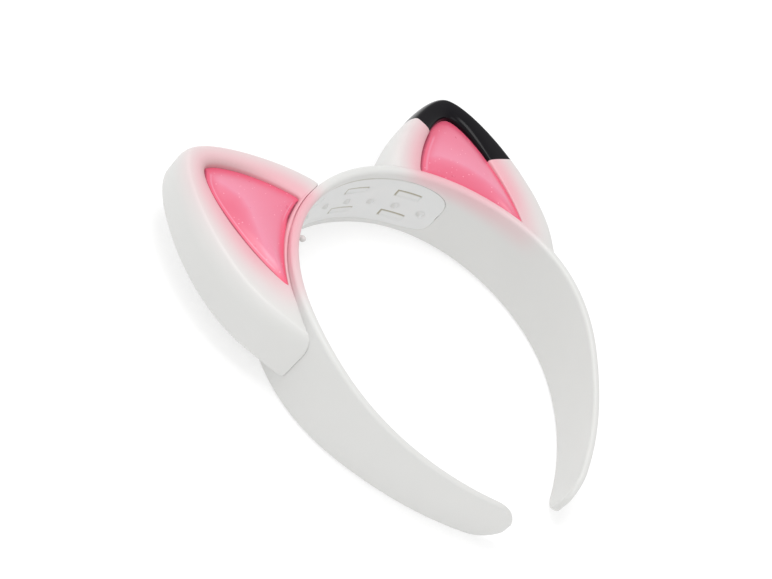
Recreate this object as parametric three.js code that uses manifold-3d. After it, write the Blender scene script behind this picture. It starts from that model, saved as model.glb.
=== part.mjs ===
// Cat ears headband: a one-piece moulded band with a grip pad let into the inside of its crown, and
// two hollow ears, each with a coloured panel set in its front; the right ear has a dark tip cap.
// Millimetres. Pieces are drawn in the band's own plane, with X to the right, Y towards the crown
// and Z towards the front, and the whole is then laid down on the band's back edge.
import * as THREE from 'three';
import { mergeVertices } from 'three/addons/utils/BufferGeometryUtils.js';
import Module from 'manifold-3d';

const wasm = await Module();
wasm.setup();

const FIT_GAP = 0.3; // clearance between neighbouring pieces

// One arm of the band's centre line, from the crown to the tip, as tangent arcs.
const ARM_ARCS = [
  { radius: 58.2, length: 50 },
  { radius: 66.2, length: 75 },
  { radius: 108, length: 63.5 },
];
const ARM_LENGTH = ARM_ARCS.reduce((sum, arc) => sum + arc.length, 0);

// Front edge, back edge and wall thickness of the band, by distance along the arm from the crown.
const BAND_ROWS = [
  { along: 0, front: 12.6, back: -21.5, wall: 3.8 },
  { along: 12, front: 12.6, back: -21.2, wall: 3.8 },
  { along: 28, front: 12.9, back: -20, wall: 3.7 },
  { along: 48, front: 14.4, back: -18.6, wall: 3.5 },
  { along: 95, front: 19.3, back: -14.9, wall: 3 },
  { along: 142, front: 15.5, back: -10.2, wall: 2.6 },
  { along: 188.5, front: 12.2, back: -7.3, wall: 2.4 },
];
const BAND_STEPS = 42; // sections on each arm
const TIP_ROUND = 11; // length of the rounded end of an arm
const TIP_SHARES = [0, 0.3, 0.55, 0.75, 0.9, 0.97]; // sections of that end, up to its small flat
const EDGE_SHARE = 0.42; // edge radius of the band as a share of its wall
const CORNER_STEPS = 2; // facets in one rounded edge

// Grip pad in the crown, its row of pips and its two rows of shallow slots.
const PAD = { centre: 5.2, halfLength: 39.6, middle: -4.1, halfWidth: 12.9, sharpness: 4.5 };
const PAD_STEPS = 22;
const PAD_END = 0.04; // share of the pad's sweep left off as a small flat at each end
const POCKET_FLOOR = 0.5; // offset of the pocket's floor from the band's middle surface
const PAD_RECESS = 0.3; // depth of the pad's face below the band's inner face
const PIP = { radius: 2, rise: 1.2, foot: 0.5, level: -6.2, spacing: 11.1, count: 7 };
const SLOT = { length: 10.6, height: 3.6, depth: 0.5, spacing: 23.4, columns: 3 };
const SLOT_LEVELS = [1.2, -11.5];
const SLOT_SHARES = [-0.5, -0.25, 0, 0.25, 0.5]; // sections of a slot along its length
const TURN_STEPS = 10; // facets round a pip or the stud
const PIP_ARC = [0, 25, 50, 70]; // angles of the rings of a pip's dome, in degrees

// Round-headed stud inside the left arm, just past the end of the pad.
const STUD = { along: -41, level: 6, rise: 3.4, radius: 1.25, stem: 0.8, foot: 1 };
const STUD_ARC = [-50, -20, 10, 40, 70]; // angles of the rings of its ball

// Right ear, seen from the front. Feet are distances along the arm, and angles are in degrees.
const EAR_RIM = {
  innerFoot: 15.9, rise: 55, risePull: 15.8, // crown-side edge leaving the band
  tip: new THREE.Vector2(63.5, 24.5), tipSlope: -28.7, innerPull: 9.5, outerPull: 12,
  heel: new THREE.Vector2(69.3, -48.2), heelSlope: 58.5, heelPull: 29.7, // outer edge nearing its end
  outerFoot: 94.5, // lower end, back on the band
};
const PANEL_EDGE = {
  innerFoot: 29.2, rise: 55.5, risePull: 15.3,
  tip: new THREE.Vector2(59.6, 15.5), tipSlope: -35, innerPull: 5.5, outerPull: 8,
  heel: new THREE.Vector2(59.6, -33.6), heelSlope: 71, heelPull: 17.6,
  outerFoot: 71.2,
};
const EDGE_STEPS = { inner: 14, outer: 16, heel: 5, base: 18 };
const HEEL_CORNER = 0.75; // fullness of the rounded lower end

// Heights of the ear's front, back and panel are flat planes that lean with Y.
const EAR_FRONT = { atCrown: 11.4, lean: -0.06 };
const EAR_BACK = { atCrown: -8.9, lean: 0 };
const PANEL_FACE = { atCrown: 8.8, lean: -0.135 };

// Rolls from the side of the ear to its front and back: how far each comes in, and how deep it is.
const ROLL_FRONT = { inset: 4.6, depth: 8 };
const ROLL_BACK = { inset: 3.4, depth: 4.2 };
const ROLL_STEPS = 4;
const ROLL_SHARE = 0.31; // most of the rim's width that a roll may take
const ROLL_FADE = 6; // width of rim under which a roll grows shallow
const SHOULDER = { way: 0.7, drop: 0.29 }; // bend between the crest of the rim and the panel
const BASE_LIP = 0.9; // width of the ear's lip between the band and the panel
const LIP_STEP = 0.3; // drop from the lip to the panel
const EAR_WALL = 2;
const HOLLOW_ROUND = 1.5; // depth of the rounded foot of the hollow
const PANEL_THICK = 1.6;
const PANEL_MIDDLE = new THREE.Vector2(53, -6);
const PANEL_SWELL = [ // rise of the panel by share of the way from its edge to its middle
  { share: 0.15, rise: 0.5 },
  { share: 0.4, rise: 1 },
  { share: 0.75, rise: 1.3 },
];
const LEDGE = 1.5; // width of the ledge that carries the panel

// The two lines across the rim that bound the dark tip of the right ear: a point and a heading.
const TIP_LINES = [
  { at: new THREE.Vector2(47.3, 11.1), way: 122 },
  { at: new THREE.Vector2(63.7, -5.9), way: -10 },
];

const lerp = THREE.MathUtils.lerp;
const radians = THREE.MathUtils.degToRad;
const heading = (degrees) => new THREE.Vector2(Math.cos(radians(degrees)), Math.sin(radians(degrees)));

// Smooth curve through one column of the band's table, level at the crown.
function bandColumn(key, along) {
  const distance = Math.min(Math.abs(along), ARM_LENGTH);
  const last = BAND_ROWS.length - 1;
  const at = BAND_ROWS.findIndex((row, i) => i > 0 && row.along >= distance);
  const slope = (i) => {
    if (i === 0) return 0;
    const [before, after] = [BAND_ROWS[i - 1], BAND_ROWS[Math.min(i + 1, last)]];
    return (after[key] - before[key]) / (after.along - before.along);
  };
  const [low, high] = [BAND_ROWS[at - 1], BAND_ROWS[at]];
  const span = high.along - low.along;
  const t = (distance - low.along) / span;
  const swing = t * t * (3 - 2 * t);
  return lerp(low[key], high[key], swing)
    + span * t * (1 - t) * ((1 - t) * slope(at - 1) - t * slope(at));
}

// Point at a distance along the arm (negative on the left), set off outwards from the middle surface.
function bandPoint(along, offset = 0) {
  let [x, y, turn, rest] = [0, 0, 0, Math.abs(along)];
  for (const { radius, length } of ARM_ARCS) {
    const end = turn + Math.min(rest, length) / radius;
    x += radius * (Math.sin(end) - Math.sin(turn));
    y += radius * (Math.cos(end) - Math.cos(turn));
    rest -= Math.min(rest, length);
    turn = end;
  }
  const side = along < 0 ? -1 : 1;
  return new THREE.Vector2(side * (x + offset * Math.sin(turn)), y + offset * Math.cos(turn));
}

const onBand = (along, offset, z) => {
  const { x, y } = bandPoint(along, offset);
  return new THREE.Vector3(x, y, z);
};
const outerFace = (along) => bandColumn('wall', along) / 2;

// Front and back edge of the band, drawn together over the rounded end of each arm.
function bandEdges(along) {
  const front = bandColumn('front', along);
  const back = bandColumn('back', along);
  const into = Math.max(0, (Math.abs(along) - ARM_LENGTH + TIP_ROUND) / TIP_ROUND);
  const middle = (front + back) / 2;
  const half = (front - back) / 2 * Math.sqrt(1 - into * into);
  return { front: middle + half, back: middle - half };
}

// Closed body through equal rings of points, with a flat triangulated cap on its two end rings.
function ringSolid(rings, flatten) {
  const count = rings[0].length;
  const index = [];
  for (let r = 0; r + 1 < rings.length; r++) {
    for (let i = 0; i < count; i++) {
      const j = (i + 1) % count;
      const [a, b, c, d] = [r * count + i, r * count + j, (r + 1) * count + i, (r + 1) * count + j];
      index.push(a, b, d, a, d, c);
    }
  }
  const cap = (ring) => {
    const contour = ring.map(flatten);
    const turned = THREE.ShapeUtils.isClockWise(contour);
    const faces = THREE.ShapeUtils.triangulateShape(contour, []);
    const forward = (face) => !THREE.ShapeUtils.isClockWise(face.map((i) => contour[i]));
    return faces.map((face) => (forward(face) === !turned ? face : face.toReversed()));
  };
  for (const face of cap(rings[0])) index.push(...face.toReversed());
  const top = (rings.length - 1) * count;
  for (const face of cap(rings.at(-1))) index.push(...face.map((i) => i + top));
  const geometry = new THREE.BufferGeometry().setFromPoints(rings.flat());
  geometry.setIndex(index);
  return volume(geometry) > 0 ? geometry : insideOut(geometry);
}

function volume(geometry) {
  const { position } = geometry.attributes;
  const corner = (i) => new THREE.Vector3().fromBufferAttribute(position, geometry.index.array[i]);
  let sum = 0;
  for (let i = 0; i < geometry.index.count; i += 3) {
    sum += corner(i).dot(corner(i + 1).cross(corner(i + 2))) / 6;
  }
  return sum;
}

function insideOut(geometry) {
  const turned = geometry.clone();
  turned.setIndex(Array.from(geometry.index.array).reverse());
  return turned;
}

function mirrored(geometry) {
  return insideOut(geometry.clone().scale(-1, 1, 1));
}

function toSolid(geometry) {
  const bare = geometry.clone();
  bare.deleteAttribute('normal');
  bare.deleteAttribute('uv');
  const merged = mergeVertices(bare);
  return new wasm.Manifold(new wasm.Mesh({
    numProp: 3,
    vertProperties: new Float32Array(merged.attributes.position.array),
    triVerts: new Uint32Array(merged.index.array),
  }));
}

function toGeometry(solid) {
  const mesh = solid.getMesh();
  const geometry = new THREE.BufferGeometry();
  geometry.setAttribute('position', new THREE.BufferAttribute(mesh.vertProperties, mesh.numProp));
  geometry.setIndex(new THREE.BufferAttribute(mesh.triVerts, 1));
  return geometry;
}

// Rounded rectangle around the wall of the band at one section.
function bandSection(along) {
  const { front, back } = bandEdges(along);
  const half = outerFace(along);
  const radius = Math.min(2 * EDGE_SHARE * half, (front - back) * EDGE_SHARE);
  const corners = [
    { offset: half, z: front, from: 0 },
    { offset: -half, z: front, from: 90 },
    { offset: -half, z: back, from: 180 },
    { offset: half, z: back, from: 270 },
  ];
  return corners.flatMap(({ offset, z, from }) => {
    const centre = offset - Math.sign(offset) * radius;
    const level = z === front ? z - radius : z + radius;
    return Array.from({ length: CORNER_STEPS + 1 }, (_, i) => {
      const angle = radians(from + 90 * i / CORNER_STEPS);
      return onBand(along, centre + radius * Math.cos(angle), level + radius * Math.sin(angle));
    });
  });
}

// Distances along one arm: even steps, then closer ones round the end.
function armStations() {
  const straight = ARM_LENGTH - TIP_ROUND;
  const even = Array.from({ length: BAND_STEPS }, (_, i) => straight * i / BAND_STEPS);
  const round = TIP_SHARES.map((share) => straight + TIP_ROUND * share);
  return [...even, ...round];
}

function bandGeometry() {
  const arm = armStations();
  const stations = [...arm.slice(1).reverse().map((along) => -along), ...arm];
  const shell = ringSolid(stations.map(bandSection), ({ y, z }) => new THREE.Vector2(y, z));
  const pocket = padPlate(0, POCKET_FLOOR, -outerFace(0) - FIT_GAP);
  const stud = standing(studGeometry(), STUD.along, -outerFace(STUD.along), STUD.level);
  return toGeometry(toSolid(shell).subtract(toSolid(pocket)).add(toSolid(stud)));
}

// Distance from the crown's centre and height, for a flat view of a section across the crown.
const acrossBand = ({ x, y, z }) => new THREE.Vector2(Math.hypot(x, y + ARM_ARCS[0].radius), z);

// Super-ellipse plate, bent to the band, between two offsets from the middle surface.
function padPlate(shrink, floor, face) {
  const rings = Array.from({ length: PAD_STEPS + 1 }, (_, i) => {
    const share = -Math.cos(Math.PI * lerp(PAD_END, 1 - PAD_END, i / PAD_STEPS));
    const along = PAD.centre + share * (PAD.halfLength - shrink);
    const swell = (1 - Math.abs(share) ** PAD.sharpness) ** (1 / PAD.sharpness);
    const half = (PAD.halfWidth - shrink) * swell;
    return [[floor, half], [face, half], [face, -half], [floor, -half]]
      .map(([offset, rise]) => onBand(along, offset, PAD.middle + rise));
  });
  return ringSolid(rings, acrossBand);
}

// Even row of distances along the band, centred on the pad.
const padRow = (count, spacing) => (
  Array.from({ length: count }, (_, i) => PAD.centre + (i - (count - 1) / 2) * spacing)
);

function slotCutter(along, level, face) {
  const rings = SLOT_SHARES.map((share) => (
    [[SLOT.depth, 0.5], [-SLOT.depth, 0.5], [-SLOT.depth, -0.5], [SLOT.depth, -0.5]].map(
      ([depth, rise]) => onBand(along + share * SLOT.length, face + depth, level + rise * SLOT.height),
    )
  ));
  return ringSolid(rings, acrossBand);
}

// Turned body about the Y axis: a foot below zero, then an elliptic arc given by angles, up to a point.
function turnedBody({ foot, stem }, angles, { radius, middle, rise }) {
  const arc = angles.map(heading).map(({ x, y }) => new THREE.Vector2(radius * x, middle + rise * y));
  const [bottom, top] = [-foot, middle + rise].map((y) => new THREE.Vector2(0, y));
  return new THREE.LatheGeometry([bottom, new THREE.Vector2(stem, -foot), ...arc, top], TURN_STEPS);
}

// Low dome with a short foot that sinks into the pad.
function pipGeometry() {
  const { radius, rise, foot } = PIP;
  return turnedBody({ foot, stem: radius }, PIP_ARC, { radius, middle: 0, rise });
}

// Ball on a stem that sinks into the band.
function studGeometry() {
  const { radius, rise, foot, stem } = STUD;
  return turnedBody({ foot, stem }, STUD_ARC, { radius, middle: rise, rise: radius });
}

// Turns a body's Y axis inwards and stands it inside the band.
function standing(geometry, along, offset, level) {
  const seat = bandPoint(along, offset);
  const inwards = bandPoint(along, offset - 1).sub(seat).angle();
  return geometry.rotateZ(inwards - Math.PI / 2).translate(seat.x, seat.y, level);
}

function padGeometry() {
  const face = -outerFace(0) + PAD_RECESS;
  let pad = toSolid(padPlate(FIT_GAP, POCKET_FLOOR - FIT_GAP, face));
  for (const along of padRow(SLOT.columns, SLOT.spacing)) {
    for (const level of SLOT_LEVELS) {
      pad = pad.subtract(toSolid(slotCutter(along, level, face)));
    }
  }
  for (const along of padRow(PIP.count, PIP.spacing)) {
    pad = pad.add(toSolid(standing(pipGeometry(), along, face, PIP.level)));
  }
  return toGeometry(pad);
}

// Closed outline of an ear or a panel: up the inner edge, over the tip, down the outer edge, round
// the lower end and back along the band, set off from the band's outer face.
function earOutline(edge, offFace) {
  const foot = (along) => bandPoint(along, outerFace(along) + offFace);
  const slope = heading(edge.tipSlope);
  const start = foot(edge.innerFoot);
  const end = foot(edge.outerFoot);
  const inner = new THREE.CubicBezierCurve(
    start,
    start.clone().addScaledVector(heading(edge.rise), edge.risePull),
    edge.tip.clone().addScaledVector(slope, -edge.innerPull),
    edge.tip,
  );
  const outer = new THREE.CubicBezierCurve(
    edge.tip,
    edge.tip.clone().addScaledVector(slope, edge.outerPull),
    edge.heel.clone().addScaledVector(heading(edge.heelSlope), edge.heelPull),
    edge.heel,
  );
  const reach = HEEL_CORNER * edge.heel.distanceTo(end);
  const corner = edge.heel.clone().addScaledVector(heading(edge.heelSlope), -reach);
  const round = new THREE.QuadraticBezierCurve(edge.heel, corner, end);
  const points = (curve, steps) => curve.getPoints(steps).slice(0, -1);
  const base = Array.from({ length: EDGE_STEPS.base }, (_, i) => (
    foot(lerp(edge.outerFoot, edge.innerFoot, i / EDGE_STEPS.base))
  ));
  return [
    ...points(inner, EDGE_STEPS.inner),
    ...points(outer, EDGE_STEPS.outer),
    ...points(round, EDGE_STEPS.heel),
    ...base,
  ];
}

const height = (plane, y) => plane.atCrown + plane.lean * y;

const panelEdge = () => earOutline(PANEL_EDGE, FIT_GAP + BASE_LIP);

// One ring of the ear, set in from its side by a distance that is cut down to a share of the rim where
// the rim is narrow. Its heights vary with Y and with the room that the rim leaves for a roll.
function earRing(heightAt, inset, share) {
  const inner = panelEdge();
  return earOutline(EAR_RIM, FIT_GAP).map((point, i) => {
    const width = point.distanceTo(inner[i]);
    const room = Math.min(1, (width / ROLL_FADE) ** 2);
    const { x, y } = point.lerp(inner[i], Math.min(inset / width, share));
    return new THREE.Vector3(x, y, heightAt(y, room));
  });
}

// Ring that follows the panel's edge, drawn in towards the panel's middle by a distance or a share of
// the way, at a height above its face.
function panelRing({ inset = 0, share = 0, lift }) {
  return panelEdge().map((point) => {
    const way = share + inset / point.distanceTo(PANEL_MIDDLE);
    const { x, y } = point.clone().lerp(PANEL_MIDDLE, way);
    return new THREE.Vector3(x, y, height(PANEL_FACE, y) + lift);
  });
}

const fromFront = ({ x, y }) => new THREE.Vector2(x, y);

// Cup of the ear: back wall, rounded side, rim and lip, the panel's ledge, then the hollow inside.
function earShell() {
  const aheadOfBack = (depth) => (y) => height(EAR_BACK, y) + depth;
  const roll = (plane, { inset, depth }, inwards) => (_, i) => {
    const turn = Math.PI / 2 * i / ROLL_STEPS;
    const rolled = 1 - Math.cos(turn);
    const level = inwards * depth * (1 - Math.sin(turn));
    return earRing((y, room) => height(plane, y) + level * room, inset * rolled, ROLL_SHARE * rolled);
  };
  const steps = { length: ROLL_STEPS + 1 };
  const frontRoll = Array.from(steps, roll(EAR_FRONT, ROLL_FRONT, -1));
  const backRoll = Array.from(steps, roll(EAR_BACK, ROLL_BACK, 1));
  const lip = panelRing({ lift: LIP_STEP });
  const shoulder = frontRoll.at(-1).map((crest, i) => (
    crest.clone().lerp(lip[i], SHOULDER.way).setZ(lerp(crest.z, lip[i].z, SHOULDER.drop))
  ));
  const seat = -PANEL_THICK - FIT_GAP;
  const underLedge = (y) => height(PANEL_FACE, y) + seat - EAR_WALL - FIT_GAP;
  return ringSolid([
    ...backRoll.reverse(),
    ...frontRoll,
    shoulder,
    lip,
    panelRing({ lift: seat }),
    panelRing({ inset: LEDGE, lift: seat }),
    panelRing({ inset: LEDGE, lift: seat - EAR_WALL }),
    earRing(underLedge, EAR_WALL, 1),
    earRing(aheadOfBack(EAR_WALL + HOLLOW_ROUND), EAR_WALL + HOLLOW_ROUND, 1),
    earRing(aheadOfBack(EAR_WALL), EAR_WALL + ROLL_BACK.inset, 1),
  ], fromFront);
}

// Panel: a plate that swells a little towards its middle.
function earPanel() {
  const foot = panelRing({ inset: FIT_GAP, lift: -PANEL_THICK });
  const edge = panelRing({ inset: FIT_GAP, lift: 0 });
  const swell = PANEL_SWELL.map(({ share, rise }) => panelRing({ share, lift: rise }));
  return ringSolid([foot, edge, ...swell], fromFront);
}

// Wedge over the ear's tip, between the two lines that cross the rim, drawn in by a gap.
function tipWedge(gap) {
  const far = 300; // well past the ear on every side
  const [up, down] = TIP_LINES.map(({ way }) => heading(way));
  const [start, end] = TIP_LINES.map(({ at }) => at);
  const middle = up.clone().add(down).normalize();
  const apex = start.clone()
    .addScaledVector(up, end.clone().sub(start).cross(down) / up.cross(down))
    .addScaledVector(middle, gap / Math.abs(up.cross(middle)));
  const corners = [up, down].map((way) => apex.clone().addScaledVector(way, far));
  const plan = new THREE.Shape([apex, ...corners]);
  const prism = new THREE.ExtrudeGeometry(plan, { depth: far, bevelEnabled: false });
  return toSolid(prism.translate(0, 0, -far / 2));
}

const whitePlastic = { color: 0xeeeeec, roughness: 0.45, metalness: 0 };
const milkyPlastic = { color: 0xe3e6e8, roughness: 0.35, metalness: 0 };
const pinkPlastic = { color: 0xf98aa2, roughness: 0.4, metalness: 0 };
const blackPlastic = { color: 0x17151a, roughness: 0.12, metalness: 0 };

const model = new THREE.Group();

function addPiece(name, geometry, finish) {
  const mesh = new THREE.Mesh(geometry, new THREE.MeshStandardMaterial(finish));
  mesh.name = name;
  mesh.geometry.computeVertexNormals();
  model.add(mesh);
}

const shell = earShell();
const panel = earPanel();
const wholeEar = toSolid(shell);
const cutEar = wholeEar.subtract(tipWedge(0));
const tipCap = wholeEar.intersect(tipWedge(FIT_GAP));

addPiece('band', bandGeometry(), whitePlastic);
addPiece('inner_pad', padGeometry(), milkyPlastic);
addPiece('ear_shell_left', mirrored(shell), whitePlastic);
addPiece('ear_panel_left', mirrored(panel), pinkPlastic);
addPiece('ear_shell_right', toGeometry(cutEar), whitePlastic);
addPiece('ear_tip_right', toGeometry(tipCap), blackPlastic);
addPiece('ear_panel_right', panel, pinkPlastic);

// The band lies on the back edge of its crown and of its two arms.
const crownBack = bandEdges(0).back;
const slopes = armStations().slice(BAND_STEPS / 2)
  .map((along) => (bandEdges(along).back - crownBack) / -bandPoint(along).y);
model.rotation.x = Math.atan(Math.min(...slopes));

// The origin is under the middle of the part, on the surface that it lies on.
const box = new THREE.Box3().setFromObject(model, true);
const centre = box.getCenter(new THREE.Vector3());
model.position.set(-centre.x, -centre.y, -box.min.z);

const headband = new THREE.Group();
headband.add(model);

export default headband;
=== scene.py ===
"""Looks of a cat ears headband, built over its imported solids.

Shapes are worked out in millimetres in the band's own plane, with X to the right, Y towards the
crown and Z towards the front. They are then tilted and shifted to where the solids lie, in metres.
"""

import logging
import math
from dataclasses import dataclass, field
from enum import Enum

import bmesh
import bpy
import numpy as np
from mathutils import Matrix, Vector
from numpy.typing import NDArray


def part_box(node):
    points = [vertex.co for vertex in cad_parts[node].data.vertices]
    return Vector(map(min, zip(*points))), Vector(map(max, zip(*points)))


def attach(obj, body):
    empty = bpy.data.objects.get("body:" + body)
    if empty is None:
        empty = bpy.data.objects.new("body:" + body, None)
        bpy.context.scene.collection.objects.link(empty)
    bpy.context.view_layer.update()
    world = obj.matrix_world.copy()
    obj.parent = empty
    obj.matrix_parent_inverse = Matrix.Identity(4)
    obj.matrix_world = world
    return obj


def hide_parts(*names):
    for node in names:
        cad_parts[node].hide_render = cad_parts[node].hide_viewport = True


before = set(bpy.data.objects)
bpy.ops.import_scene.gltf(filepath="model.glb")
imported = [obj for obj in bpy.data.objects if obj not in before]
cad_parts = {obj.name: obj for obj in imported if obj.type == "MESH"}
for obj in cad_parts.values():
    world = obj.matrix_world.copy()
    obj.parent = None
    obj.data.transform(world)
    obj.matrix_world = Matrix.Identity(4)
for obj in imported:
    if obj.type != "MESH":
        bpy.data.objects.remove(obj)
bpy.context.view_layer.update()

LOG = logging.getLogger("headband")
Array = NDArray[np.float64]
Numbers = NDArray[np.int64]
Flags = NDArray[np.bool_]
Range = tuple[float, float]
Triple = tuple[float, float, float]
Colour = tuple[float, float, float, float]
Socket = bpy.types.NodeSocket
Material = bpy.types.Material
MM = 0.001
FIT_GAP = 0.3  # clearance between neighbouring pieces
ROUND_STEPS = 28  # points round a small turned body


class Side(Enum):
    """The side of the head that an ear stands on, as the sign of X."""

    LEFT = -1
    RIGHT = 1


class Column(Enum):
    """Columns of the band's table of sections."""

    FRONT = 1
    BACK = 2
    WALL = 3


def linear(colour: str) -> Colour:
    """Turns an sRGB hex colour to linear light, by the standard two-part curve."""
    share = np.array([int(colour[i : i + 2], 16) for i in (1, 3, 5)]) / 255.0
    value = np.where(share <= 0.04045, share / 12.92, ((share + 0.055) / 1.055) ** 2.4)
    return (*value.tolist(), 1.0)


def eased(low: float, high: float, value: Array) -> Array:
    """Rises from 0 at low to 1 at high, level at both ends: 3t squared less 2t cubed."""
    t = np.clip((value - low) / (high - low), 0.0, 1.0)
    return t * t * (3.0 - 2.0 * t)


def mixed(start: Array, end: Array, share: Array | float) -> Array:
    """Goes a share of the way from start to end in a straight line."""
    return start + (end - start) * share


def heading(degrees: float) -> Array:
    """Gives the unit vector at an angle from +X towards +Y."""
    return np.array([math.cos(math.radians(degrees)), math.sin(math.radians(degrees))])


def bezier(controls: list[Array], count: int, skew: float = 0.0) -> Array:
    """Samples a Bezier curve in nearly even steps of its parameter, without its last point.

    The curve is the binomial sum of its control points, with weights t and 1 - t. A skew moves the
    samples on by 4 t (1 - t) times its size.

    Args:
        controls: control points, each X and Y.
        count: number of samples.
        skew: how far the middle sample is moved on.

    Returns:
        Array of count points.
    """
    even = (np.arange(count) / count)[:, None]
    t = even + 4.0 * skew * even * (1.0 - even)
    degree = len(controls) - 1
    weights = [
        math.comb(degree, k) * t**k * (1.0 - t) ** (degree - k) for k in range(degree + 1)
    ]
    return sum(weight * point for weight, point in zip(weights, controls))


def relaxed(loop: Array, passes: int) -> Array:
    """Rounds the corners of a closed loop by averaging each point with its two neighbours.

    Args:
        loop: points in order round the loop.
        passes: how often the 1, 2, 1 average is taken.

    Returns:
        The rounded loop.
    """
    for _ in range(passes):
        loop = (np.roll(loop, 1, axis=0) + 2.0 * loop + np.roll(loop, -1, axis=0)) / 4.0
    return loop


def fill(tree: bpy.types.NodeTree, node: bpy.types.Node, inputs: dict[str | int, object]) -> None:
    """Links the sockets among a node's inputs, and sets the rest as plain values.

    Args:
        tree: node tree that holds the node.
        node: the node.
        inputs: values or sockets to link, by the name or place of the node's own socket.
    """
    for name, value in inputs.items():
        if isinstance(value, Socket):
            tree.links.new(value, node.inputs[name])
        else:
            node.inputs[name].default_value = value


def add_node(
    tree: bpy.types.NodeTree,
    kind: str,
    inputs: dict[str | int, object] | None = None,
    **settings: object,
) -> bpy.types.Node:
    """Adds one node with its settings and inputs.

    Args:
        tree: node tree that takes the node.
        kind: Blender's name for the type of node.
        inputs: values or sockets to link, by the name or place of the node's own socket.
        settings: the node's own properties.

    Returns:
        The new node.
    """
    node = tree.nodes.new(kind)
    for name, value in settings.items():
        setattr(node, name, value)
    fill(tree, node, inputs or {})
    return node


def put(name: str, data: bpy.types.ID) -> bpy.types.Object:
    """Makes an object of some data, and links it to the scene."""
    thing = bpy.data.objects.new(name, data)
    bpy.context.scene.collection.objects.link(thing)
    return thing


@dataclass(frozen=True)
class Pose:
    """How the band's plane lies on the floor."""

    tilt: float = 5.887161  # turn about X in degrees
    shift: Triple = (0.0, 0.0, 0.0)  # shift after the turn, in millimetres

    def turn(self) -> Array:
        """Gives the matrix of the tilt about X."""
        return np.array(Matrix.Rotation(math.radians(self.tilt), 3, "X"))

    def lay(self, points: Array) -> Array:
        """Turns and shifts points in millimetres, and gives them in metres."""
        return (points @ self.turn().T + np.array(self.shift)) * MM

    def fitted(self, points: Array, node: str) -> "Pose":
        """Shifts the pose so that points share a node's middle in X, top in Y and bottom in Z.

        Args:
            points: the piece's points in millimetres in the band's plane.
            node: name of the solid that they stand for.

        Returns:
            The pose with its shift set.
        """
        low, high = (np.array(corner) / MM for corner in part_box(node))
        turned = points @ self.turn().T
        middle = (low[0] + high[0] - turned[:, 0].min() - turned[:, 0].max()) / 2.0
        top = high[1] - turned[:, 1].max()
        bottom = low[2] - turned[:, 2].min()
        return Pose(self.tilt, (float(middle), float(top), float(bottom)))


@dataclass
class Shape:
    """Points in millimetres and the faces between them, gathered patch by patch."""

    patches: list[Array] = field(default_factory=list)
    faces: list[list[int]] = field(default_factory=list)
    count: int = 0

    def add(self, points: Array) -> Numbers:
        """Takes in points and numbers them.

        Args:
            points: array of any shape whose last axis is X, Y, Z.

        Returns:
            The points' numbers, in the shape of the array without its last axis.
        """
        flat = points.reshape(-1, 3)
        numbers = self.count + np.arange(len(flat))
        self.patches.append(flat)
        self.count += len(flat)
        return numbers.reshape(points.shape[:-1])

    def span(self, rows: Numbers, dropped: Flags | None = None) -> None:
        """Puts quads between neighbouring closed rows of points.

        Args:
            rows: point numbers, one closed ring in each row.
            dropped: marks the quads to leave out, one row fewer than rows.
        """
        after = np.roll(rows, -1, axis=1)
        quads = np.stack([rows[:-1], after[:-1], after[1:], rows[1:]], axis=-1)
        kept = quads.reshape(-1, 4) if dropped is None else quads[~dropped]
        self.faces += kept.tolist()

    def fan(self, ring: Numbers, pole: Numbers, closed: bool = True) -> None:
        """Puts triangles between a row of points and one point.

        Args:
            ring: point numbers in order.
            pole: number of the one point.
            closed: whether the row closes on itself.
        """
        after = np.roll(ring, -1)
        faces = np.stack([ring, after, np.full_like(ring, pole)], axis=-1).tolist()
        self.faces += faces if closed else faces[:-1]

    def tube(
        self, rings: Array, poles: Array, dropped: Flags | None = None, closed: bool = True
    ) -> tuple[Numbers, Numbers]:
        """Adds a stack of rings, with a point that closes it at each end.

        Args:
            rings: points, one ring in each row.
            poles: the points for the first ring and the last one.
            dropped: marks the quads to leave out, one row fewer than rings.
            closed: whether the two end rings close on themselves.

        Returns:
            Numbers of the rings' points and of the poles.
        """
        numbers, ends = self.add(rings), self.add(poles)
        self.span(numbers, dropped)
        self.fan(numbers[0], ends[0], closed)
        self.fan(numbers[-1], ends[1], closed)
        return numbers, ends

    def turned(self, curve: "BandCurve", seat: Triple, out: Array, up: Array) -> Numbers:
        """Adds a small round body that stands inwards from the band's inside.

        Args:
            curve: centre line of the band.
            seat: distance along the band, offset from its middle and height of the body's foot.
            out: radius of each ring, from the foot up.
            up: distance of each ring above the foot.

        Returns:
            Numbers of the points in its rings.
        """
        along, offset, level = seat
        turn = np.linspace(0.0, 2.0 * math.pi, ROUND_STEPS, endpoint=False)
        run, rise = out[:, None] * np.cos(turn), out[:, None] * np.sin(turn)
        rings = curve.place(along + run, offset - up[:, None], level + rise)
        poles = curve.place(np.array(along), offset - up[[0, -1]], np.array(level))
        return self.tube(rings, poles)[0]

    def points(self) -> Array:
        """Gives all points taken in so far."""
        return np.concatenate(self.patches)

    def piece(self, name: str, pose: Pose, sharp: float = 35.0) -> bpy.types.Object:
        """Makes the shape an object, with its faces outwards and its sharp edges kept.

        Args:
            name: the object's name.
            pose: how the band's plane lies.
            sharp: edges that bend more than this many degrees stay sharp.

        Returns:
            The new object, linked to the scene.
        """
        mesh = bpy.data.meshes.new(name)
        mesh.from_pydata(pose.lay(self.points()).tolist(), [], self.faces)
        work = bmesh.new()
        work.from_mesh(mesh)
        bmesh.ops.recalc_face_normals(work, faces=work.faces)
        work.to_mesh(mesh)
        work.free()
        mesh.shade_smooth()
        mesh.set_sharp_from_angle(angle=math.radians(sharp))
        return put(name, mesh)


def note(piece: bpy.types.Object, name: str, values: Array) -> None:
    """Stores one number for each of a piece's points, for its material to read."""
    attribute = piece.data.attributes.new(name, "FLOAT", "POINT")
    attribute.data.foreach_set("value", values.astype(np.float32))


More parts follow.
